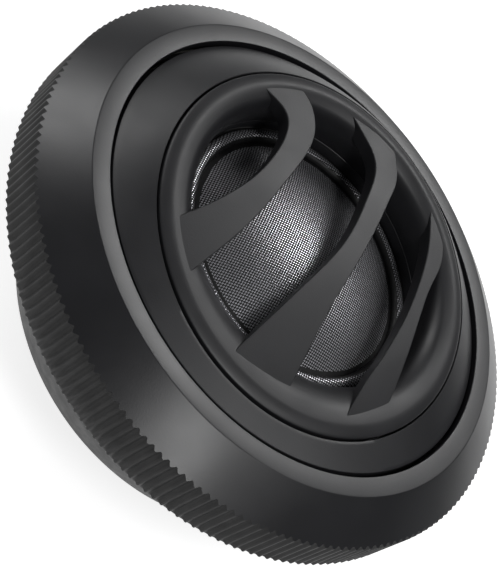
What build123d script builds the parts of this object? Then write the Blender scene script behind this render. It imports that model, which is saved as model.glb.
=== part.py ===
from build123d import *
import math
import os

os.makedirs("parts", exist_ok=True)

# Swivelling dome tweeter in a screw-on clamp ring. Millimetres, standing on the cup's flat back, +Z out of the front.
# The grille's raised side is towards +Y, and the tilt pins lie along X.

# heights that several parts share
lip_z = 18.0
ball_z = 12.0
web_low_z = 13.6
web_top_z = 15.0
frame_top_z = 15.6
seat_z = 16.45
opening_z = 17.65

# cup
floor_t = 1.8
foot_r = 20.07
foot_round = 0.9
taper = math.radians(23.7)

# swivel
ball_r = 22.3
ball_low_z = 9.8
shoulder_z = 17.75
shoulder_r = 21.5
gimbal_r = 22.6
gimbal_out_r = 23.7
pin_r = 1.2

# clamp ring
knurl_r = 27.74
knurl_low_z = 10.3
knurl_top_z = 15.36
cone_top_r = 23.83
lip_r = 22.0
bore_r = 25.3

# grille
rim_y = -1.4
rim_z = 19.9
rim_tilt = 6.6
rim_seat_r = 17.77
rim_r = 17.45
crest_h = 0.45
crest_in_r = 15.4
opening_r = 13.55
face_ball_r = 100.0
face_y = 15.3
face_top_z = 22.25
bar_t = 1.5
bar_low_z = 17.1

# driver
dome_r = 12.0
dome_low_z = 16.1
dome_top_z = 18.4
dome_t = 0.15
pot_r = 15.3
pot_in_r = 13.0
pot_low_z = 7.9
magnet_low_z = 9.9
magnet_top_z = 12.7
pole_r = 11.7
cap_low_z = 5.8
lead_r = 15.65
lead_z = 7.3

tilt = math.radians(rim_tilt)
rim_up = (0, -math.sin(tilt), math.cos(tilt))
rim_plane = Plane(origin=(0, rim_y, rim_z), x_dir=(1, 0, 0), z_dir=rim_up)


def on_circle(radius, count, start=0.0):
    step = 2 * math.pi / count
    return [
        (radius * math.cos(start + i * step), radius * math.sin(start + i * step))
        for i in range(count)
    ]


# ---- fixed cup ----

# Bowl with a tapered wall, a thread band under the clamp ring and a ledge for the swivel washer.
with BuildPart() as rear_cup:
    with BuildSketch(Plane.XZ):
        with BuildLine():
            Line((0, 0), (foot_r, 0))
            taper_r = foot_r + foot_round * math.cos(taper)
            taper_z = foot_round * (1 - math.sin(taper))
            RadiusArc((foot_r, 0), (taper_r, taper_z), -foot_round)
            Polyline((taper_r, taper_z), (24.4, 8.5), (24.4, 10.2), (25.0, 10.5), (25.0, 14.2), (24.0, 14.2))
            Polyline((24.0, 14.2), (24.0, 8.7), (22.6, 8.7), (22.6, 8.0), (21.9, 5.6), (19.9, 2.7))
            Polyline((19.9, 2.7), (18.6, floor_t), (0, floor_t), (0, 0))
        make_face()
    revolve(axis=Axis.Z)
    with BuildSketch(Plane.XY):
        Circle(4.0)
        with Locations(*on_circle(13.5, 3, math.pi / 2)):
            Circle(1.6)
    extrude(amount=floor_t, mode=Mode.SUBTRACT)

# Rubber sleeve for the lead's way out through the cup's floor.
with BuildPart() as wire_grommet:
    with BuildSketch(Plane.XY):
        Circle(4.0)
    extrude(amount=2.6)
    with BuildSketch(Plane.XY.offset(floor_t)):
        Circle(5.2)
    extrude(amount=0.8)
    with BuildSketch(Plane.XY):
        Circle(2.4)
    extrude(amount=3, mode=Mode.SUBTRACT)

# ---- clamp ring ----

# Knurled band, cone, flat front lip, and a shoulder inside that bears on the slip ring.
with BuildPart() as knurled_ring:
    with BuildSketch(Plane.XZ):
        with BuildLine():
            Polyline(
                (bore_r, knurl_low_z),
                (knurl_r - 0.4, knurl_low_z),
                (knurl_r, knurl_low_z + 0.4),
                (knurl_r, knurl_top_z),
                (cone_top_r, lip_z),
                (lip_r, lip_z),
                (lip_r, lip_z - 0.8),
                (22.9, 14.9),
                (bore_r, 14.9),
                (bore_r, knurl_low_z),
            )
        make_face()
    revolve(axis=Axis.Z)

# Low-friction washer that rises with the clamp ring and stays still while the ring turns.
with BuildPart() as slip_ring:
    with BuildSketch(Plane.XY.offset(14.4)):
        Circle(24.9)
        Circle(22.95, mode=Mode.SUBTRACT)
    extrude(amount=0.45)

# ---- swivel carrier ----

# Ring round the ball's equator with a hole on each side for the tilt pins.
with BuildPart() as gimbal_ring:
    with BuildSketch(Plane.XY.offset(9.35)):
        Circle(gimbal_out_r)
        Circle(gimbal_r, mode=Mode.SUBTRACT)
    extrude(amount=5.0)
    with BuildSketch(Plane.YZ):
        with Locations((0, ball_z)):
            Circle(pin_r + 0.05)
    extrude(amount=25, both=True, mode=Mode.SUBTRACT)

# Felt washer on the cup's ledge that drags on the carrier.
with BuildPart() as felt_washer:
    with BuildSketch(Plane.XY.offset(8.7)):
        Circle(23.6)
        Circle(22.7, mode=Mode.SUBTRACT)
    extrude(amount=0.6)

# ---- tilting capsule ----

# Seat for the grille: a tilted round pocket with a level floor.
with BuildPart() as grille_pocket:
    with BuildSketch(rim_plane):
        Circle(rim_seat_r)
    extrude(amount=9, both=True)
    with BuildSketch(Plane.XY.offset(seat_z)):
        Circle(40)
    extrude(amount=40, mode=Mode.INTERSECT)

# Ball zone under a sloping face that climbs to the grille's tilted edge.
with BuildPart() as ball_shell:
    with BuildSketch(Plane.XZ):
        low_r = math.sqrt(ball_r**2 - (ball_low_z - ball_z) ** 2)
        high_r = math.sqrt(ball_r**2 - (shoulder_z - ball_z) ** 2)
        with BuildLine():
            Polyline((0, shoulder_z), (0, ball_low_z), (low_r, ball_low_z))
            ThreePointArc((low_r, ball_low_z), (ball_r, ball_z), (high_r, shoulder_z))
            Line((high_r, shoulder_z), (0, shoulder_z))
        make_face()
    revolve(axis=Axis.Z)
    with BuildSketch(Plane.XY.offset(shoulder_z)):
        Circle(shoulder_r)
    with BuildSketch(rim_plane):
        Circle(rim_seat_r + 0.02)
    loft(ruled=True)
    add(grille_pocket.part, mode=Mode.SUBTRACT)
    with BuildSketch(Plane.XY.offset(web_top_z)):
        Circle(17.2)
    extrude(amount=2, mode=Mode.SUBTRACT)
    with BuildSketch(Plane.XY.offset(web_low_z)):
        Circle(19.2)
    extrude(amount=-5, mode=Mode.SUBTRACT)
    with BuildSketch(Plane.XY.offset(web_low_z)):
        Circle(15.5)
    extrude(amount=3, mode=Mode.SUBTRACT)
    with BuildSketch(Plane.XY.offset(web_low_z)):
        with Locations(*on_circle(16.2, 3, math.pi / 6)):
            Circle(0.5)
        with Locations(*on_circle(18.1, 3, math.pi / 2)):
            Circle(0.5)
        with Locations((lead_r, 0), (-lead_r, 0)):
            Circle(0.5)
    extrude(amount=web_top_z - web_low_z, mode=Mode.SUBTRACT)
    with BuildSketch(Plane.YZ):
        with Locations((0, ball_z)):
            Circle(pin_r)
    extrude(amount=25, both=True, mode=Mode.SUBTRACT)

# Two tilt pins pressed into the ball shell.
with BuildPart() as trunnion_pins:
    with BuildSketch(Plane.YZ.offset(19.6)):
        with Locations((0, ball_z)):
            Circle(pin_r)
    extrude(amount=4.0)
    with BuildSketch(Plane.YZ.offset(-23.6)):
        with Locations((0, ball_z)):
            Circle(pin_r)
    extrude(amount=4.0)

# Outline of each swept bar seen from the front: left edge, then right edge, both from the low end to the high end.
bar_edges = [
    (
        [(-14.6, -8.2), (-11.7, -4.1), (-9.0, 0.8), (-7.7, 5.9), (-8.4, 9.0), (-11.3, 10.2)],
        [(-11.3, -12.0), (-8.4, -5.2), (-6.5, 0.7), (-4.9, 7.5), (-5.9, 11.7), (-8.0, 13.4)],
    ),
    (
        [(-4.9, -15.6), (-1.6, -7.9), (1.3, -0.6), (2.4, 5.5), (2.3, 11.2), (-0.7, 13.6)],
        [(1.3, -15.2), (2.5, -6.9), (4.0, 1.1), (5.0, 7.6), (5.3, 11.0), (4.2, 14.0)],
    ),
    (
        [(7.8, -14.6), (8.7, -10.4), (9.8, -6.3), (11.0, -0.6), (11.2, 6.0), (9.9, 11.0)],
        [(11.8, -11.0), (12.3, -5.9), (12.6, 1.7), (13.6, 6.4), (13.0, 9.6)],
    ),
]

# Three upright blades cut to a thin arched shell.
with BuildPart() as bars:
    with BuildSketch(Plane.XY.offset(15)):
        for left, right in bar_edges:
            with BuildLine():
                Spline(*left)
                Line(left[-1], right[-1])
                Spline(*right)
                Line(right[0], left[0])
            make_face()
    extrude(amount=12)
    with Locations((0, face_y, face_top_z - face_ball_r)):
        Sphere(face_ball_r, mode=Mode.INTERSECT)
        Sphere(face_ball_r - bar_t, mode=Mode.SUBTRACT)
    with BuildSketch(Plane.XY.offset(bar_low_z)):
        Circle(40)
    extrude(amount=40, mode=Mode.INTERSECT)

# Tilted rim with a funnel down to the level round opening, joined by the bars.
with BuildPart() as bezel_grille:
    with BuildSketch(rim_plane.offset(crest_h)):
        Circle(rim_r)
    extrude(amount=-9)
    with BuildSketch(Plane.XY.offset(seat_z + 0.05)):
        Circle(40)
    extrude(amount=40, mode=Mode.INTERSECT)
    with BuildSketch(Plane.XY.offset(opening_z)):
        Circle(opening_r)
    with BuildSketch(rim_plane.offset(crest_h)):
        Circle(crest_in_r)
    loft(ruled=True, mode=Mode.SUBTRACT)
    with BuildSketch(Plane.XY.offset(seat_z)):
        Circle(opening_r)
    extrude(amount=opening_z - seat_z, mode=Mode.SUBTRACT)
    crest_edges = bezel_grille.edges().filter_by(GeomType.CIRCLE).sort_by(Axis.Z)
    fillet(crest_edges[-2:], 0.7)
    add(bars.part)

# Foam ring squeezed between the grille and the diaphragm's edge.
with BuildPart() as grille_gasket:
    with BuildSketch(Plane.XY.offset(16.05)):
        Circle(14.7)
        Circle(13.65, mode=Mode.SUBTRACT)
    extrude(amount=0.45)

# Ring the diaphragm's edge is glued to.
with BuildPart() as diaphragm_ring:
    with BuildSketch(Plane.XY.offset(frame_top_z)):
        Circle(15.0)
        Circle(13.5, mode=Mode.SUBTRACT)
    extrude(amount=0.3)

# Flat frame that holds the motor and screws to the ball shell's web.
with BuildPart() as driver_frame:
    with BuildSketch(Plane.XY.offset(web_top_z)):
        Circle(17.0)
        Circle(13.2, mode=Mode.SUBTRACT)
        with Locations(*on_circle(16.2, 3, math.pi / 6)):
            Circle(0.5, mode=Mode.SUBTRACT)
        with Locations((lead_r, 0), (-lead_r, 0)):
            Circle(0.4, mode=Mode.SUBTRACT)
    extrude(amount=frame_top_z - web_top_z)

with BuildPart() as frame_screws:
    with BuildSketch(Plane.XY.offset(web_low_z + 0.2)):
        with Locations(*on_circle(16.2, 3, math.pi / 6)):
            Circle(0.5)
    extrude(amount=frame_top_z - web_low_z - 0.2)
    with BuildSketch(Plane.XY.offset(frame_top_z)):
        with Locations(*on_circle(16.2, 3, math.pi / 6)):
            Circle(0.75)
    extrude(amount=0.6)

# Closed steel pot, its rim forming the outside of the magnetic gap.
with BuildPart() as steel_pot:
    with BuildSketch(Plane.XY.offset(pot_low_z)):
        Circle(pot_r)
    extrude(amount=web_top_z - pot_low_z)
    with BuildSketch(Plane.XY.offset(magnet_low_z)):
        Circle(pot_in_r)
    extrude(amount=6, mode=Mode.SUBTRACT)

with BuildPart() as magnet:
    with BuildSketch(Plane.XY.offset(magnet_low_z)):
        Circle(11.3)
    extrude(amount=magnet_top_z - magnet_low_z)

with BuildPart() as pole_plate:
    with BuildSketch(Plane.XY.offset(magnet_top_z)):
        Circle(pole_r)
    extrude(amount=web_top_z - magnet_top_z - 0.1)

# Felt disc on the pole that damps the air behind the dome.
with BuildPart() as pole_felt:
    with BuildSketch(Plane.XY.offset(web_top_z - 0.1)):
        Circle(9.0)
    extrude(amount=0.8)

# Cup behind the motor, with a flange screwed to the web from behind and two slots for the tabs.
with BuildPart() as rear_cap:
    with BuildSketch(Plane.XZ):
        with BuildLine():
            Polyline(
                (0, cap_low_z),
                (16.2, cap_low_z),
                (17.1, cap_low_z + 0.9),
                (17.1, 12.4),
                (19.0, 12.4),
                (19.0, web_low_z),
                (16.0, web_low_z),
                (16.0, 7.0),
                (0, 7.0),
                (0, cap_low_z),
            )
        make_face()
    revolve(axis=Axis.Z)
    with BuildSketch(Plane.XY.offset(cap_low_z)):
        with Locations((4.5, -6), (-4.5, -6)):
            Rectangle(0.5, 2.4)
    extrude(amount=1.2, mode=Mode.SUBTRACT)
    with BuildSketch(Plane.XY.offset(12.4)):
        with Locations(*on_circle(18.1, 3, math.pi / 2)):
            Circle(0.5)
    extrude(amount=2, mode=Mode.SUBTRACT)

with BuildPart() as cap_screws:
    with BuildSketch(Plane.XY.offset(12.4)):
        with Locations(*on_circle(18.1, 3, math.pi / 2)):
            Circle(0.5)
    extrude(amount=2.3)
    with BuildSketch(Plane.XY.offset(11.7)):
        with Locations(*on_circle(18.1, 3, math.pi / 2)):
            Circle(0.8)
    extrude(amount=0.7)

# Two thin leads down the side of the pot and in to the tabs.
with BuildPart() as lead_wires:
    for side in (1, -1):
        run = Vector(4.75 * side, -6.0, lead_z) - Vector(lead_r * side, 0, lead_z)
        with BuildSketch(Plane.XY.offset(lead_z - 0.2)):
            with Locations((lead_r * side, 0)):
                Circle(0.2)
        extrude(amount=15.9 - lead_z + 0.2)
        with BuildSketch(Plane(origin=(lead_r * side, 0, lead_z), z_dir=tuple(run))):
            Circle(0.2)
        extrude(amount=run.length)

# Felt pad on the cap's floor, notched for the tabs and the leads.
with BuildPart() as chamber_felt:
    with BuildSketch(Plane.XY.offset(7.0)):
        Circle(14.0)
        with Locations((4.5, -6), (-4.5, -6)):
            Rectangle(2.4, 4.4, mode=Mode.SUBTRACT)
        with Locations((9.8, -3), (-9.8, -3)):
            Rectangle(12.5, 7, mode=Mode.SUBTRACT)
    extrude(amount=0.7)

# Two push-on tabs through the back of the cap.
with BuildPart() as terminal_tabs:
    with BuildSketch(Plane.XY.offset(3.9)):
        with Locations((4.5, -6), (-4.5, -6)):
            Rectangle(0.5, 2.4)
    extrude(amount=3.6)

# ---- moving diaphragm ----

dome_ball_r = (dome_r**2 + (dome_top_z - dome_low_z) ** 2) / (2 * (dome_top_z - dome_low_z))
with BuildPart() as dome:
    with BuildSketch(Plane.XZ):
        mid_r = dome_r / 2
        mid_z = dome_top_z - dome_ball_r + math.sqrt(dome_ball_r**2 - mid_r**2)
        with BuildLine():
            ThreePointArc((0, dome_top_z), (mid_r, mid_z), (dome_r, dome_low_z))
            Line((dome_r, dome_low_z), (dome_r, dome_low_z - dome_t))
            ThreePointArc(
                (dome_r, dome_low_z - dome_t), (mid_r, mid_z - dome_t), (0, dome_top_z - dome_t)
            )
            Line((0, dome_top_z - dome_t), (0, dome_top_z))
        make_face()
    revolve(axis=Axis.Z)

# Half-round roll between the dome and its glued edge.
with BuildPart() as surround:
    with BuildSketch(Plane.XZ):
        with BuildLine():
            Polyline((12.02, 15.95), (12.02, 16.1))
            ThreePointArc((12.02, 16.1), (12.7, 16.75), (13.38, 16.1))
            Polyline((13.38, 16.1), (13.38, 16.05), (14.6, 16.05), (14.6, 15.9), (13.25, 15.9), (13.25, 16.1))
            ThreePointArc((13.25, 16.1), (12.7, 16.62), (12.15, 16.1))
            Polyline((12.15, 16.1), (12.15, 15.95), (12.02, 15.95))
        make_face()
    revolve(axis=Axis.Z)

with BuildPart() as coil_former:
    with BuildSketch(Plane.XY.offset(11.0)):
        Circle(12.2)
        Circle(12.08, mode=Mode.SUBTRACT)
    extrude(amount=4.94)

with BuildPart() as coil_winding:
    with BuildSketch(Plane.XY.offset(11.4)):
        Circle(12.6)
        Circle(12.2, mode=Mode.SUBTRACT)
    extrude(amount=3.4)

# ---- files, one per piece ----

pieces = {
    "rear_cup": rear_cup,
    "wire_grommet": wire_grommet,
    "knurled_ring": knurled_ring,
    "slip_ring": slip_ring,
    "gimbal_ring": gimbal_ring,
    "felt_washer": felt_washer,
    "ball_shell": ball_shell,
    "trunnion_pins": trunnion_pins,
    "bezel_grille": bezel_grille,
    "grille_gasket": grille_gasket,
    "diaphragm_ring": diaphragm_ring,
    "driver_frame": driver_frame,
    "frame_screws": frame_screws,
    "steel_pot": steel_pot,
    "magnet": magnet,
    "pole_plate": pole_plate,
    "pole_felt": pole_felt,
    "rear_cap": rear_cap,
    "cap_screws": cap_screws,
    "chamber_felt": chamber_felt,
    "terminal_tabs": terminal_tabs,
    "lead_wires": lead_wires,
    "dome": dome,
    "surround": surround,
    "coil_former": coil_former,
    "coil_winding": coil_winding,
}
for name, piece in pieces.items():
    piece.part.label = name
    export_step(piece.part, f"parts/{name}.step")
    print(name, "volume", round(piece.part.volume, 1), "solids", len(piece.part.solids()))
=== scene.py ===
import bmesh
import bpy
import math
from mathutils import Matrix, Vector


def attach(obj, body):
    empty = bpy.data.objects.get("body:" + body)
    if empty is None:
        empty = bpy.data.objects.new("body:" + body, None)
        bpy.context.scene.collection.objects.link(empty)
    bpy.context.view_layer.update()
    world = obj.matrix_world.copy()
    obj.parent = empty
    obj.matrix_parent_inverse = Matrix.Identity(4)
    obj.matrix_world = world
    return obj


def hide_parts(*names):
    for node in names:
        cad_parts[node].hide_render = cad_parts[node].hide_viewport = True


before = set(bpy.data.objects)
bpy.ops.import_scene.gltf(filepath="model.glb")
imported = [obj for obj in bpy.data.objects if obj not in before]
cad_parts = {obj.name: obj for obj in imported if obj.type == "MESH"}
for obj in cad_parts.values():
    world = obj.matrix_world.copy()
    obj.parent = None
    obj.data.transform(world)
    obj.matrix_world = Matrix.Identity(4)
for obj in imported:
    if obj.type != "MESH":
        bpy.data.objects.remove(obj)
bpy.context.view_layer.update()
mm = 0.001
print("frame loaded,", len(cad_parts), "nodes")


def hexLinear(text):
    # an sRGB hex colour turned linear, as the shader sockets want it
    parts = [int(text[i:i + 2], 16) / 255 for i in (1, 3, 5)]
    return tuple(c / 12.92 if c <= 0.04045 else ((c + 0.055) / 1.055) ** 2.4 for c in parts) + (1.0,)


def addNode(tree, kind, inputs=None, **settings):
    # inputs hold plain values, or (node, output) pairs that get linked
    node = tree.nodes.new(kind)
    for key, value in settings.items():
        setattr(node, key, value)
    for key, value in (inputs or {}).items():
        if isinstance(value, tuple) and isinstance(value[0], bpy.types.Node):
            tree.links.new(value[0].outputs[value[1]], node.inputs[key])
        else:
            node.inputs[key].default_value = value
    return node


def startMaterial(name):
    material = bpy.data.materials.new(name)
    material.use_nodes = True
    material.node_tree.nodes.clear()
    return material, material.node_tree


def coatNode(node, material):
    # a carried-over CAD node takes a finish in all its slots
    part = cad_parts[node]
    if not part.material_slots:
        part.data.materials.append(material)
    for slot in part.material_slots:
        slot.material = material


def deselectAll():
    if bpy.context.object and bpy.context.object.mode == "EDIT":
        bpy.ops.object.mode_set(mode="OBJECT")
    bpy.ops.object.select_all(action="DESELECT")


def pickPoints(part, test):
    # in edit mode, only the points whose place passes the test stay selected
    mesh = bmesh.from_edit_mesh(part.data)
    for face in mesh.faces:
        face.select = False
    for edge in mesh.edges:
        edge.select = False
    for point in mesh.verts:
        point.select = test(point.co)
    mesh.select_flush(True)
    bmesh.update_edit_mesh(part.data)


def roundCorners(corners, chords=4):
    # (radius, height, fillet) in mm becomes a line of (radius, height) with its corners eased
    line = []
    for i, (x, z, fillet) in enumerate(corners):
        here = Vector((x, z))
        if not fillet:
            line.append((x, z))
            continue
        before = (Vector(corners[i - 1][:2]) - here).normalized()
        after = (Vector(corners[(i + 1) % len(corners)][:2]) - here).normalized()
        reach = fillet / math.tan(max(before.angle(after) / 2, 0.05))
        a, b = here + before * reach, here + after * reach
        for k in range(chords + 1):
            t = k / chords
            line.append(tuple(a * (1 - t) ** 2 + here * 2 * t * (1 - t) + b * t ** 2))
    return line


def drawProfile(name, line):
    # one point, extruded along a closed outline in the XZ plane
    deselectAll()
    bpy.ops.mesh.primitive_plane_add(size=mm)
    part = bpy.context.object
    part.name = part.data.name = name
    bpy.ops.object.mode_set(mode="EDIT")
    bpy.ops.mesh.select_mode(type="VERT")
    bpy.ops.mesh.select_all(action="SELECT")
    bpy.ops.mesh.merge(type="CENTER")
    bpy.ops.transform.translate(value=(line[0][0] * mm, 0, line[0][1] * mm))
    for (xa, za), (xb, zb) in zip(line, line[1:] + line[:1]):
        step = ((xb - xa) * mm, 0, (zb - za) * mm)
        bpy.ops.mesh.extrude_vertices_move(TRANSFORM_OT_translate={"value": step})
    bpy.ops.mesh.select_all(action="SELECT")
    bpy.ops.mesh.remove_doubles(threshold=0.002 * mm)
    return part


def closeUp(part, sharp=32):
    # doubles merged, normals outwards, smooth except over real edges
    bpy.ops.mesh.select_all(action="SELECT")
    bpy.ops.mesh.remove_doubles(threshold=0.002 * mm)
    bpy.ops.mesh.normals_make_consistent(inside=False)
    bpy.ops.object.mode_set(mode="OBJECT")
    bpy.ops.object.shade_smooth_by_angle(angle=math.radians(sharp))
    return part


def turnPart(name, corners, steps, sharp=32):
    part = drawProfile(name, roundCorners(corners))
    bpy.ops.mesh.spin(steps=steps, angle=2 * math.pi, center=(0, 0, 0), axis=(0, 0, 1))
    return closeUp(part, sharp)


def growRings(name, rings, count):
    # rings are (radius, y, z, tilt in degrees about X)
    # each one is extruded from the last, then sized, tilted and moved
    deselectAll()
    first = rings[0]
    bpy.ops.mesh.primitive_circle_add(vertices=count, radius=first[0] * mm)
    part = bpy.context.object
    part.name = part.data.name = name
    bpy.ops.object.mode_set(mode="EDIT")
    bpy.ops.mesh.select_mode(type="VERT")
    bpy.ops.mesh.select_all(action="SELECT")
    turnRing(first[3], (0, 0, 0))
    bpy.ops.transform.translate(value=(0, first[1] * mm, first[2] * mm))
    for old, new in zip(rings, rings[1:] + rings[:1]):
        middle = (0, old[1] * mm, old[2] * mm)
        bpy.ops.mesh.extrude_edges_move()
        bpy.ops.transform.resize(value=(new[0] / old[0],) * 3, center_override=middle)
        turnRing(new[3] - old[3], middle)
        bpy.ops.transform.translate(value=(0, (new[1] - old[1]) * mm, (new[2] - old[2]) * mm))
    return closeUp(part)


def turnRing(degrees, middle):
    # without a window the rotate operator turns the other way, so the angle changes sign here
    if abs(degrees) > 1e-9:
        bpy.ops.transform.rotate(value=-math.radians(degrees), orient_axis="X", center_override=middle)


def applyModifier(part, kind, **settings):
    bpy.context.view_layer.objects.active = part
    tool = part.modifiers.new(kind.title(), kind)
    for key, value in settings.items():
        setattr(tool, key, value)
    bpy.ops.object.modifier_apply(modifier=tool.name)


def finishPart(part, material, body, slot, *nodes):
    part.data.materials.clear()
    part.data.materials.append(material)
    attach(part, body)
    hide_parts(*nodes)
    print("made", part.name, len(part.data.polygons), "faces")


view = {
    "place": (-51.19, -85.11, 99.16),
    "right": (0.75604, 0.20423, 0.62232),
    "up": (-0.53353, 0.74375, 0.40371),
    "back": (-0.38041, -0.63725, 0.67062),
    "lens": 88.1,
}
cameraData = bpy.data.cameras.new("camera")
cameraData.lens = view["lens"]
cameraData.clip_start = 0.005
camera = bpy.data.objects.new("camera", cameraData)
bpy.context.scene.collection.objects.link(camera)
turn = Matrix((view["right"], view["up"], view["back"])).transposed().to_4x4()
camera.matrix_world = Matrix.Translation(Vector(view["place"]) * mm) @ turn
bpy.context.scene.camera = camera
bpy.context.scene.view_settings.view_transform = "Standard"

# each softbox: the direction it stands in, its width and height in metres, and how bright its face is
softboxes = {
    "backBox": ((0.40, 0.62, 0.67), 0.30, 0.16, 2.2),
    "topBox": ((0.33, 0.60, 0.73), 0.09, 0.12, 8.5),
    "leftBox": ((-0.60, 0.58, 0.55), 0.16, 0.20, 6.0),
    "lowBox": ((0.12, -0.50, 0.86), 0.08, 0.14, 19.0),
    "overBox": ((0.40, -0.24, 0.88), 0.16, 0.16, 3.4),
}
for lampName, (direction, wide, tall, bright) in softboxes.items():
    lamp = bpy.data.lights.new(lampName, "AREA")
    lamp.shape = "RECTANGLE"
    lamp.size, lamp.size_y = wide, tall
    lamp.energy = bright * math.pi * wide * tall
    holder = bpy.data.objects.new(lampName, lamp)
    holder.location = Vector(direction).normalized() * 0.5
    holder.rotation_euler = Vector(direction).to_track_quat("Z", "Y").to_euler()
    bpy.context.scene.collection.objects.link(holder)

world = bpy.data.worlds.new("paleRoom")
world.use_nodes = True
world.node_tree.nodes["Background"].inputs["Color"].default_value = (0.96, 0.98, 1.0, 1.0)
world.node_tree.nodes["Background"].inputs["Strength"].default_value = 0.12
bpy.context.scene.world = world

deselectAll()
bpy.ops.mesh.primitive_plane_add(size=3.0, location=(0, 0, -0.00005))
floor = bpy.context.object
floor.name = "floor"
floorFinish, tree = startMaterial("lit shooting table")
# a white acrylic table with a lamp under it, so there is hardly a shadow
glow = addNode(tree, "ShaderNodeBsdfPrincipled", {"Base Color": hexLinear("#c4c4c4"), "Roughness": 0.7,
               "Emission Color": (1.0, 1.0, 1.0, 1.0), "Emission Strength": 0.82})
addNode(tree, "ShaderNodeOutputMaterial", {"Surface": (glow, 0)})
floor.data.materials.append(floorFinish)
print("camera, lights and floor done")


def addNoise(tree, where, size, detail, share=1):
    # noise whose features are about size mm across, or finer by share
    return addNode(tree, "ShaderNodeTexNoise", {"Vector": where, "Scale": share / (size * mm),
                                                "Detail": detail})


def blendTone(tree, factor, deep, pale):
    return addNode(tree, "ShaderNodeMix", {"Factor": factor, 6: hexLinear(deep), 7: hexLinear(pale)},
                   data_type="RGBA")


def driftGloss(tree, factor, gloss):
    return addNode(tree, "ShaderNodeMapRange", {"Value": factor, "From Min": 0.3, "From Max": 0.7,
                                                "To Min": gloss[0], "To Max": gloss[1]})


def raiseBump(tree, height, lift, strength=1.0):
    return addNode(tree, "ShaderNodeBump", {"Height": height, "Strength": strength, "Distance": lift * mm})


def closeSkin(tree, tone, bump, sockets):
    # the surface itself, with its tone, its bump and whatever else it needs
    skin = addNode(tree, "ShaderNodeBsdfPrincipled", {"Base Color": (tone, 2), "Normal": (bump, 0), **sockets})
    addNode(tree, "ShaderNodeOutputMaterial", {"Surface": (skin, 0)})


def mouldedPlastic(name, look):
    # moulded thermoplastic: an even tone with faint clouds, satin gloss that drifts a little, fine mould grain
    material, tree = startMaterial(name)
    place = addNode(tree, "ShaderNodeTexCoord")
    clouds = addNoise(tree, (place, "Object"), look["cloud"], 3.0)
    grain = addNoise(tree, (place, "Object"), look["grain"], 2.0)
    tone = blendTone(tree, (clouds, "Fac"), look["deep"], look["pale"])
    gloss = driftGloss(tree, (clouds, "Fac"), look["gloss"])
    bump = raiseBump(tree, (grain, "Fac"), look["lift"])
    closeSkin(tree, tone, bump, {"Roughness": (gloss, 0), "IOR": look["ior"]})
    return material


def plainMetal(name, look):
    # metal part: fine streaks in gloss along one direction, and a faint change of tone
    material, tree = startMaterial(name)
    place = addNode(tree, "ShaderNodeTexCoord")
    stretch = addNode(tree, "ShaderNodeMapping", {"Vector": (place, "Object"), "Scale": look["streak"]})
    streaks = addNoise(tree, (stretch, 0), look["grain"], 3.0)
    tone = blendTone(tree, (streaks, "Fac"), look["deep"], look["pale"])
    gloss = driftGloss(tree, (streaks, "Fac"), look["gloss"])
    bump = raiseBump(tree, (streaks, "Fac"), 0.002, 0.6)
    closeSkin(tree, tone, bump, {"Roughness": (gloss, 0), "Metallic": 1.0})
    return material


def fibreOrFoam(name, look):
    # felt, foam or rubber: a rough, open surface whose hollows are painted darker than its tops, as shade
    material, tree = startMaterial(name)
    place = addNode(tree, "ShaderNodeTexCoord")
    stretch = addNode(tree, "ShaderNodeMapping", {"Vector": (place, "Object"), "Scale": look["stretch"]})
    cells = addNode(tree, "ShaderNodeTexVoronoi", {"Vector": (stretch, 0), "Scale": 1 / (look["cell"] * mm)})
    fuzz = addNoise(tree, (stretch, 0), look["cell"], 4.0, 2)
    blend = addNode(tree, "ShaderNodeMath", {0: (cells, "Distance"), 1: (fuzz, "Fac")}, operation="MULTIPLY")
    # the tone follows the bump's pattern, so the low spots take the deep tone as painted shade
    tone = blendTone(tree, (blend, 0), look["deep"], look["pale"])
    bump = raiseBump(tree, (blend, 0), look["lift"])
    closeSkin(tree, tone, bump, {"Roughness": look["rough"], "IOR": 1.5, "Sheen Weight": look["sheen"],
                                 "Sheen Roughness": 0.5})
    return material


weave = {
    "warpPitch": 0.240, "warpTurn": 173.0,  # mm between threads, and the way across them in degrees from X
    "weftPitch": 0.262, "weftTurn": 98.0,   # the two sets aren't quite square, pulled askew in forming
    "gap": "#010102", "crownGlint": "#e4e4ea",
    "lift": 0.030, "rough": (0.75, 0.17),
    "glintFrom": 0.66, "glintFull": 0.94,     # thread heights where the crowns' painted glint begins and is full
    "metal": 0.85, "roundness": 0.6,
}


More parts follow.
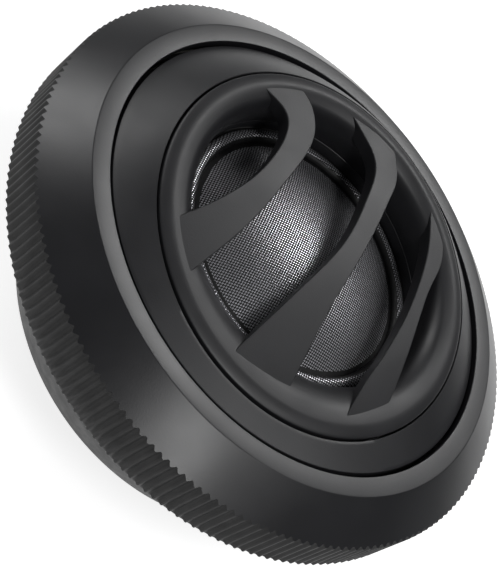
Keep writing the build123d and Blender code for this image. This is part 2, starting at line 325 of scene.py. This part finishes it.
def silkGlintsAndShade(name):
    # black silk in plain weave; the pale, metal-like tone on the yarn crowns is a painted glint
    # and the black between the yarns is painted shade
    material, tree = startMaterial(name)
    place = addNode(tree, "ShaderNodeTexCoord")

    def combine(operation, *values):
        return addNode(tree, "ShaderNodeMath", dict(enumerate(values)), operation=operation)

    waves = []
    for thread in ("warp", "weft"):
        step, angle = math.pi / (weave[thread + "Pitch"] * mm), math.radians(weave[thread + "Turn"])
        way = (math.cos(angle) * step, math.sin(angle) * step, 0)
        across = addNode(tree, "ShaderNodeVectorMath", {0: (place, "Object"), 1: way}, operation="DOT_PRODUCT")
        waves.append(combine("SINE", (across, "Value")))
    warp, weft = [combine("ABSOLUTE", (wave, 0)) for wave in waves]
    both = combine("MULTIPLY", (waves[0], 0), (waves[1], 0))
    warpOver = combine("GREATER_THAN", (both, 0), 0.0)
    # a thread is round across and sinks towards the ends of each float
    warpSink = combine("MULTIPLY_ADD", (weft, 0), 0.55, 0.45)
    weftSink = combine("MULTIPLY_ADD", (warp, 0), 0.55, 0.45)
    warpRound = combine("POWER", (warp, 0), weave["roundness"])
    weftRound = combine("POWER", (weft, 0), weave["roundness"])
    warpTop = combine("MULTIPLY", (warpRound, 0), (warpSink, 0))
    weftTop = combine("MULTIPLY", (weftRound, 0), (weftSink, 0))
    height = addNode(tree, "ShaderNodeMix", {0: (warpOver, 0), 2: (weftTop, 0), 3: (warpTop, 0)},
                     data_type="FLOAT")
    glintMask = addNode(tree, "ShaderNodeMapRange", {"Value": (height, 0), "From Min": weave["glintFrom"],
                     "From Max": weave["glintFull"], "To Min": 0.0, "To Max": 1.0})
    # pale metal-like crowns are painted glints, black gaps are painted shade
    tone = blendTone(tree, (glintMask, 0), weave["gap"], weave["crownGlint"])
    gleam = combine("MULTIPLY", (glintMask, 0), weave["metal"])
    gloss = addNode(tree, "ShaderNodeMapRange", {"Value": (glintMask, 0), "To Min": weave["rough"][0],
                    "To Max": weave["rough"][1]})
    bump = raiseBump(tree, (height, 0), weave["lift"])
    closeSkin(tree, tone, bump, {"Metallic": (gleam, 0), "Roughness": (gloss, 0), "IOR": 1.5})
    return material


def woundCopper(name):
    # enamelled wire in close turns: fine horizontal bands, darker in the hollows between turns as painted
    # shade, with a lacquer shine
    material, tree = startMaterial(name)
    place = addNode(tree, "ShaderNodeTexCoord")
    turns = addNode(tree, "ShaderNodeTexWave", {"Vector": (place, "Object"), "Scale": 0.31 / (0.12 * mm),
                    "Distortion": 0.0}, bands_direction="Z")
    # the dark part of each band lies in the hollow between turns: painted shade
    tone = blendTone(tree, (turns, "Fac"), "#5e2a12", "#b8683a")
    bump = raiseBump(tree, (turns, "Fac"), 0.04)
    closeSkin(tree, tone, bump, {"Metallic": 1.0, "Roughness": 0.28, "Coat Weight": 0.5, "Coat Roughness": 0.1})
    return material


satinAbs = mouldedPlastic("charcoal ABS, satin moulded", {
    "deep": "#1b1b1d", "pale": "#232326", "cloud": 5.0, "grain": 0.16, "gloss": (0.30, 0.35),
    "lift": 0.004, "ior": 1.47})
grilleAbs = mouldedPlastic("charcoal ABS, fine grained", {
    "deep": "#1d1d1f", "pale": "#252528", "cloud": 4.0, "grain": 0.14, "gloss": (0.40, 0.46),
    "lift": 0.006, "ior": 1.48})
# the knurl band's copy of the ring's plastic: duller, and its darker tone is painted shade for the grooves
knurlShadedAbs = mouldedPlastic("charcoal ABS, knurled, dull, with painted shade", {
    "deep": "#070708", "pale": "#0e0e0f", "cloud": 2.0, "grain": 0.10, "gloss": (0.50, 0.60),
    "lift": 0.008, "ior": 1.33})
cupNylon = mouldedPlastic("black glass filled nylon, moulded", {
    "deep": "#0d0d0e", "pale": "#161618", "cloud": 1.2, "grain": 0.10, "gloss": (0.42, 0.54),
    "lift": 0.008, "ior": 1.45})
slipAcetal = mouldedPlastic("natural acetal, moulded", {
    "deep": "#c9c8c0", "pale": "#dcdbd4", "cloud": 3.0, "grain": 0.20, "gloss": (0.40, 0.48),
    "lift": 0.002, "ior": 1.48})
framePbt = mouldedPlastic("dark grey PBT, moulded", {
    "deep": "#2b2c2e", "pale": "#37383b", "cloud": 2.0, "grain": 0.12, "gloss": (0.46, 0.56),
    "lift": 0.006, "ior": 1.55})
grommetRubber = fibreOrFoam("black EPDM rubber, moulded", {
    "deep": "#121213", "pale": "#1f1f20", "cell": 0.15, "stretch": (1, 1, 1), "lift": 0.01,
    "rough": 0.72, "sheen": 0.0})
gasketFoam = fibreOrFoam("charcoal PU foam, cut", {
    "deep": "#0d0d0e", "pale": "#2c2c2e", "cell": 0.22, "stretch": (1, 1, 1), "lift": 0.08,
    "rough": 0.9, "sheen": 0.1})
greyFelt = fibreOrFoam("grey wool felt, pressed", {
    "deep": "#2a2a2b", "pale": "#6a6968", "cell": 0.18, "stretch": (1, 1, 0.3), "lift": 0.06,
    "rough": 0.95, "sheen": 0.4})
zincSteel = plainMetal("zinc plated steel, turned", {
    "deep": "#9a9ca0", "pale": "#c2c4c8", "grain": 0.25, "streak": (0.3, 0.3, 3.0),
    "gloss": (0.28, 0.42)})
nickelMagnet = plainMetal("nickel plated magnet", {
    "deep": "#a8a59c", "pale": "#c4c1b8", "grain": 0.5, "streak": (1, 1, 1), "gloss": (0.16, 0.26)})
blackScrew = plainMetal("steel, black oxide", {
    "deep": "#1b1b1c", "pale": "#343436", "grain": 0.12, "streak": (1, 1, 2.0),
    "gloss": (0.32, 0.46)})
pinSteel = plainMetal("stainless steel, ground", {
    "deep": "#8f9092", "pale": "#b9babc", "grain": 0.10, "streak": (3.0, 0.3, 0.3),
    "gloss": (0.18, 0.30)})
tabBrass = plainMetal("brass strip, stamped", {
    "deep": "#a8863c", "pale": "#cfae62", "grain": 0.20, "streak": (1, 1, 0.2),
    "gloss": (0.22, 0.34)})
formerFoil = plainMetal("aluminium foil, rolled", {
    "deep": "#b4b5b8", "pale": "#d2d3d6", "grain": 0.15, "streak": (0.3, 0.3, 2.0),
    "gloss": (0.20, 0.32)})
copperTurns = woundCopper("enamelled copper, wound")
# the dome's and roll's silk, with painted glints on the yarn crowns and painted shade in the gaps
wovenGlintSilk = silkGlintsAndShade("black silk, woven, painted glints and gap shade")
# near-black painted shade for the trough between dome and roll, and for the roll's flange under the grille edge
troughShade = mouldedPlastic("near-black painted shade, trough and flange", {
    "deep": "#050506", "pale": "#0b0b0c", "cloud": 0.8, "grain": 0.30, "gloss": (0.45, 0.65),
    "lift": 0.03, "ior": 1.42})

nodeFinishes = {
    "slip_ring": slipAcetal, "gimbal_ring": framePbt, "felt_washer": greyFelt, "trunnion_pins": pinSteel,
    "grille_gasket": gasketFoam, "diaphragm_ring": framePbt, "driver_frame": framePbt,
    "frame_screws": blackScrew, "steel_pot": zincSteel, "magnet": nickelMagnet, "pole_plate": zincSteel,
    "pole_felt": greyFelt, "rear_cap": framePbt, "cap_screws": blackScrew, "chamber_felt": greyFelt,
    "terminal_tabs": tabBrass, "lead_wires": copperTurns,
    "coil_former": formerFoil, "coil_winding": copperTurns,
}
for nodeName, nodeFinish in nodeFinishes.items():
    coatNode(nodeName, nodeFinish)
print("finishes done")


clampRing = {
    "ribs": 196, "columns": 6,     # one rib and one groove, in six columns, is a 196th of the ring
    "band": 27.74, "bandTop": 15.36, "coneR": 23.83, "coneTop": 18.0, "grooveDepth": 0.25, "easeDepth": 0.12,
    "dullShadeFrom": 27.1,              # faces further out than this are the knurl, duller and darkened as painted shade for its grooves
}
clampCorners = [(25.3, 10.3, 0), (27.40, 10.3, 0.06), (clampRing["band"], 10.62, 0),
                (clampRing["band"], clampRing["bandTop"], 0), (clampRing["coneR"], clampRing["coneTop"], 0.22),
                (22.0, 18.0, 0.10), (22.0, 17.2, 0.08), (22.9, 14.9, 0), (25.3, 14.9, 0)]
ring = drawProfile("knurledRing", roundCorners(clampCorners))
pitchTurn = 2 * math.pi / clampRing["ribs"]
bpy.ops.mesh.spin(steps=clampRing["columns"], angle=pitchTurn, center=(0, 0, 0), axis=(0, 0, 1))
columnTurn = pitchTurn / clampRing["columns"]


def sinkColumns(columns, depth):
    # columns of the band sink by depth, and their top ends climb the cone's slope
    # so each groove runs out through the cone
    def chosen(point):
        column = round(abs(math.atan2(point.y, point.x)) / columnTurn)
        return math.hypot(point.x, point.y) > (clampRing["band"] - 0.02) * mm and column in columns
    pickPoints(ring, lambda p: chosen(p) and abs(p.z - clampRing["bandTop"] * mm) < 0.02 * mm)
    rise, run = clampRing["coneTop"] - clampRing["bandTop"], clampRing["band"] - clampRing["coneR"]
    bpy.ops.transform.translate(value=(0, 0, depth * rise / run * mm))
    pickPoints(ring, chosen)
    size = 1 - depth / clampRing["band"]
    bpy.ops.transform.resize(value=(size, size, 1), center_override=(0, 0, 0))


sinkColumns((3, 4), clampRing["grooveDepth"])
sinkColumns((2, 5), clampRing["easeDepth"])
bpy.ops.mesh.select_all(action="SELECT")
bpy.ops.mesh.spin(steps=clampRing["ribs"], dupli=True, angle=2 * math.pi, center=(0, 0, 0), axis=(0, 0, 1))
closeUp(ring, 44)
finishPart(ring, satinAbs, "clamp_ring", "moulded_black", "knurled_ring")
# the knurl's outer faces take the darker copy, painted shade for the grooves
ring.data.materials.append(knurlShadedAbs)
for face in ring.data.polygons:
    if math.hypot(face.center.x, face.center.y) > clampRing["dullShadeFrom"] * mm and abs(face.normal.z) < 0.6:
        face.material_index = 1


rim = {"y": -1.4, "z": 19.9, "tilt": 6.6}
rimTurn = math.radians(rim["tilt"])


def onRim(radius, up):
    # a ring parallel to the grille's tilted rim plane, up mm above it
    return (radius, rim["y"] - up * math.sin(rimTurn), rim["z"] + up * math.cos(rimTurn), rim["tilt"])


def between(a, b, t, bulge=0.0):
    # a ring part of the way from ring a to ring b, lifted by bulge mm in the middle
    mixed = [p + (q - p) * t for p, q in zip(a, b)]
    mixed[2] += bulge * 4 * t * (1 - t)
    return tuple(mixed)


ball = {"radius": 22.3, "middle": 12.0, "lowEdge": 9.8, "highEdge": 17.60, "shoulder": 21.55,
        "faceBulge": 0.10}
lowAngle = math.asin((ball["lowEdge"] - ball["middle"]) / ball["radius"])
highAngle = math.asin((ball["highEdge"] - ball["middle"]) / ball["radius"])
ballRings = [(19.3, 0, 9.8, 0), (19.2, 0, 9.95, 0)]
ballRings += [(19.2, 0, 13.6, 0), (15.5, 0, 13.6, 0), (15.5, 0, 15.0, 0), (17.2, 0, 15.0, 0),
              (17.2, 0, 16.45, 0)]
wallFoot = (17.70, -0.98, 16.47, 0)
wallTop = onRim(17.72, -0.10)
ballRings += [wallFoot, between(wallFoot, wallTop, 0.5), wallTop, onRim(17.74, -0.03), onRim(17.80, 0.0)]
shoulderRing = (ball["shoulder"], 0, 17.75, 0)
ballRings += [between(onRim(17.80, 0.0), shoulderRing, t / 10, ball["faceBulge"]) for t in range(1, 10)]
ballRings += [shoulderRing, (21.60, 0, 17.70, 0)]
ballRings += [(ball["radius"] * math.cos(a), 0, ball["middle"] + ball["radius"] * math.sin(a), 0)
              for a in [highAngle + (lowAngle - highAngle) * k / 14 for k in range(15)]]
shell = growRings("ballShell", ballRings, 288)
finishPart(shell, grilleAbs, "capsule", "moulded_black", "ball_shell")


grille = {
    "openingR": 13.6, "openingZ": 17.65, "floorZ": 16.5,
    "crest": [(17.52, -0.6), (17.52, 0.08), (17.50, 0.13), (17.44, 0.18), (17.28, 0.25), (17.0, 0.34),
              (16.7, 0.41)],
    "crestIn": (16.4, 0.45),
    # the throat's soft edge: how far in, the share of the whole drop above it, and how it falls from there
    "edgeAt": 0.48, "edgeDrop": 0.10, "edgePower": 1.6, "steady": 0.25,
}
openingRing = (grille["openingR"], 0, grille["openingZ"], 0)
crestRing = onRim(*grille["crestIn"])
grilleRings = [(17.38, -1.0, grille["floorZ"], 0)] + [onRim(r, h) for r, h in grille["crest"]]
throat = [(grille["edgeAt"] * k / 8, grille["edgeDrop"] * (k / 8) ** grille["edgePower"]) for k in range(8)]
for k in range(10):
    # below its edge the throat turns ever steeper, to stand upright at the opening
    turned = math.pi / 2 * k / 10
    fallen = grille["steady"] * math.sin(turned) + (1 - grille["steady"]) * (1 - math.cos(turned))
    throat.append((grille["edgeAt"] + (1 - grille["edgeAt"]) * math.sin(turned),
                   grille["edgeDrop"] + (1 - grille["edgeDrop"]) * fallen))
for across, down in throat:
    radius = crestRing[0] + (openingRing[0] - crestRing[0]) * across
    grilleRings.append((radius,) + between(crestRing, openingRing, down)[1:])
grilleRings += [openingRing, (13.55, 0, 17.60, 0), (13.55, 0, grille["floorZ"], 0)]
grilleBody = growRings("grille", grilleRings, 288)

bars = {
    "thick": 1.5, "along": 44, "across": 4, "edgeBevel": 0.10,
    "lines": [
        ([(-15.2, -8.8), (-12.0, -4.6), (-9.1, 0.6), (-7.7, 5.9), (-8.4, 9.0), (-12.0, 10.2)],
         [(-12.0, -12.9), (-8.6, -5.6), (-6.5, 0.6), (-4.8, 7.6), (-5.7, 11.4), (-8.2, 13.3)]),
        ([(-5.6, -16.8), (-1.9, -8.3), (1.3, -0.6), (2.5, 5.7), (2.4, 11.0), (-1.3, 14.2)],
         [(0.9, -17.2), (2.2, -7.3), (4.0, 1.1), (5.1, 7.7), (5.4, 11.1), (4.2, 14.6)]),
        ([(7.1, -15.7), (8.1, -11.2), (9.4, -6.9), (10.7, -0.9), (11.1, 5.8), (10.2, 11.2)],
         [(11.3, -12.8), (11.8, -6.6), (12.3, 1.3), (13.1, 6.0), (12.4, 9.6)]),
    ],
    "arch": 0.6, "archR": 15.4,
    "dips": (0.0, 0.30, 0.20), "dipReach": 0.3,   # a bar's right side sinks by its dip at the near end
}


def alongLine(points, t):
    # a smooth line that passes through its points (Catmull-Rom)
    spot = t * (len(points) - 1)
    i = min(int(spot), len(points) - 2)
    f = spot - i
    b, c = Vector(points[i]), Vector(points[i + 1])
    a = Vector(points[i - 1]) if i else b * 2 - c
    d = Vector(points[i + 2]) if i + 2 < len(points) else c * 2 - b
    bend = (a * 2 - b * 5 + c * 4 - d) * 0.5 * f ** 2
    return b + (c - a) * 0.5 * f + bend + (b * 3 - a - c * 3 + d) * 0.5 * f ** 3


def faceHeight(x, y):
    # the arched face that the bars' tops share: level with the crest at the edge, proud of it in the middle
    crestHeight = rim["z"] + (y - rim["y"]) * math.tan(rimTurn) + grille["crest"][-1][1]
    return crestHeight + bars["arch"] * (1 - (x * x + (y - rim["y"]) ** 2) / bars["archR"] ** 2)


barParts = []
for number, (leftLine, rightLine) in enumerate(bars["lines"]):
    deselectAll()
    bpy.ops.mesh.primitive_grid_add(x_subdivisions=bars["across"], y_subdivisions=bars["along"], size=1.0)
    bar = bpy.context.object
    bar.name = "bar" + str(number)
    for point in bar.data.vertices:
        side, run = point.co.x + 0.5, point.co.y + 0.5
        spot = alongLine(leftLine, run).lerp(alongLine(rightLine, run), side)
        dip = bars["dips"][number] * side * max(0, 1 - run / bars["dipReach"])
        point.co = Vector((spot.x, spot.y, faceHeight(spot.x, spot.y) - dip)) * mm
    bpy.ops.object.mode_set(mode="EDIT")
    bpy.ops.mesh.select_all(action="SELECT")
    bpy.ops.mesh.extrude_region_move(TRANSFORM_OT_translate={"value": (0, 0, -bars["thick"] * mm)})
    closeUp(bar)
    applyModifier(bar, "BEVEL", width=bars["edgeBevel"] * mm, segments=2, limit_method="ANGLE",
                  angle_limit=math.radians(50))
    barParts.append(bar)
deselectAll()
for bar in barParts + [grilleBody]:
    bar.select_set(True)
bpy.context.view_layer.objects.active = grilleBody
bpy.ops.object.join()
bpy.ops.object.shade_smooth_by_angle(angle=math.radians(32))
finishPart(grilleBody, grilleAbs, "capsule", "moulded_black", "bezel_grille")


domeSize = {"edge": 12.0, "low": 16.1, "top": 18.4, "thick": 0.15, "rings": 26, "shadeFrom": 11.35}
domeRise = domeSize["top"] - domeSize["low"]
domeBall = (domeSize["edge"] ** 2 + domeRise ** 2) / (2 * domeRise)
outer = []
for k in range(domeSize["rings"] + 1):
    r = domeSize["edge"] * k / domeSize["rings"]
    outer.append((r, domeSize["top"] - domeBall + math.sqrt(domeBall ** 2 - r ** 2), 0))
inner = [(r, z - domeSize["thick"], 0) for r, z, f in reversed(outer)]
dome = turnPart("wovenDome", outer + inner, 160, 50)
finishPart(dome, wovenGlintSilk, "diaphragm", "coated_silk", "dome")

# the dome's rim towards the trough takes the painted shade
dome.data.materials.append(troughShade)
for face in dome.data.polygons:
    if math.hypot(face.center.x, face.center.y) > domeSize["shadeFrom"] * mm:
        face.material_index = 1

rollSize = {"middle": 12.7, "foot": 16.12, "outside": (-0.68, 0.63), "inside": (0.55, 0.50),
            "unshadedFrom": 12.35, "unshadedTo": 13.3}


def rollArc(wide, high):
    # half an oval over the roll's middle, from the side that wide points to
    turns = [math.pi * k / 12 for k in range(1, 12)]
    return [(rollSize["middle"] + wide * math.cos(a), rollSize["foot"] + high * math.sin(a), 0) for a in turns]


rollCorners = [(12.02, 15.95, 0), (12.02, 16.12, 0)] + rollArc(*rollSize["outside"])
rollCorners += [(13.38, 16.06, 0), (14.6, 16.05, 0), (14.6, 15.9, 0), (13.26, 15.9, 0)]
rollCorners += rollArc(*rollSize["inside"]) + [(12.15, 15.95, 0)]
roll = turnPart("foldedSurround", rollCorners, 192, 60)
finishPart(roll, wovenGlintSilk, "diaphragm", "coated_silk", "surround")
# the roll takes the painted shade in the trough and on its flange, outside the band where the silk shows
roll.data.materials.append(troughShade)
for face in roll.data.polygons:
    away = math.hypot(face.center.x, face.center.y)
    if not rollSize["unshadedFrom"] * mm < away < rollSize["unshadedTo"] * mm:
        face.material_index = 1


cup = {
    "corners": [(0, 0, 0), (20.07, 0, 0), (24.4, 8.5, 0.6), (24.4, 10.2, 0.15), (25.0, 10.5, 0.1),
                (25.0, 14.2, 0.1), (24.0, 14.2, 0.1), (24.0, 8.7, 0), (22.6, 8.7, 0.1), (22.6, 8.0, 0.3),
                (21.9, 5.6, 0.6), (19.9, 2.7, 0.5), (18.6, 1.8, 0.5), (0, 1.8, 0)],
    "footR": 20.07, "footRound": 0.9, "taper": 23.7,
    "holes": [(0, 0, 4.0), (90, 13.5, 1.6), (210, 13.5, 1.6), (330, 13.5, 1.6)],  # turned, away, radius
}
cupLine = []
for x, z in roundCorners(cup["corners"]):
    cupLine.append((x, z))
    if (x, z) == (cup["footR"], 0):
        cupLine += [(x + cup["footRound"] * math.cos(a), cup["footRound"] * (1 + math.sin(a)))
                    for a in [math.radians(-90 + (90 - cup["taper"]) * k / 6) for k in range(1, 7)]]
cupBody = drawProfile("rearCup", cupLine)
bpy.ops.mesh.spin(steps=192, angle=2 * math.pi, center=(0, 0, 0), axis=(0, 0, 1))
closeUp(cupBody)
for turned, away, holeR in cup["holes"]:
    deselectAll()
    spot = (away * math.cos(math.radians(turned)) * mm, away * math.sin(math.radians(turned)) * mm, 0)
    bpy.ops.mesh.primitive_cylinder_add(vertices=48, radius=holeR * mm, depth=8 * mm, location=spot)
    cutter = bpy.context.object
    applyModifier(cupBody, "BOOLEAN", object=cutter, operation="DIFFERENCE", solver="EXACT")
    bpy.data.objects.remove(cutter, do_unlink=True)
deselectAll()
cupBody.select_set(True)
bpy.context.view_layer.objects.active = cupBody
bpy.ops.object.shade_smooth_by_angle(angle=math.radians(32))
finishPart(cupBody, cupNylon, "base", "cup_plastic", "rear_cup")

grommetCorners = [(2.4, 0, 0.25), (4.0, 0, 0.1), (4.0, 1.8, 0), (5.2, 1.8, 0.2), (5.2, 2.6, 0.25),
                  (2.4, 2.6, 0.25)]
grommet = turnPart("wireGrommet", grommetCorners, 96)
finishPart(grommet, grommetRubber, "base", "grommet_rubber", "wire_grommet")

print("all pieces made")
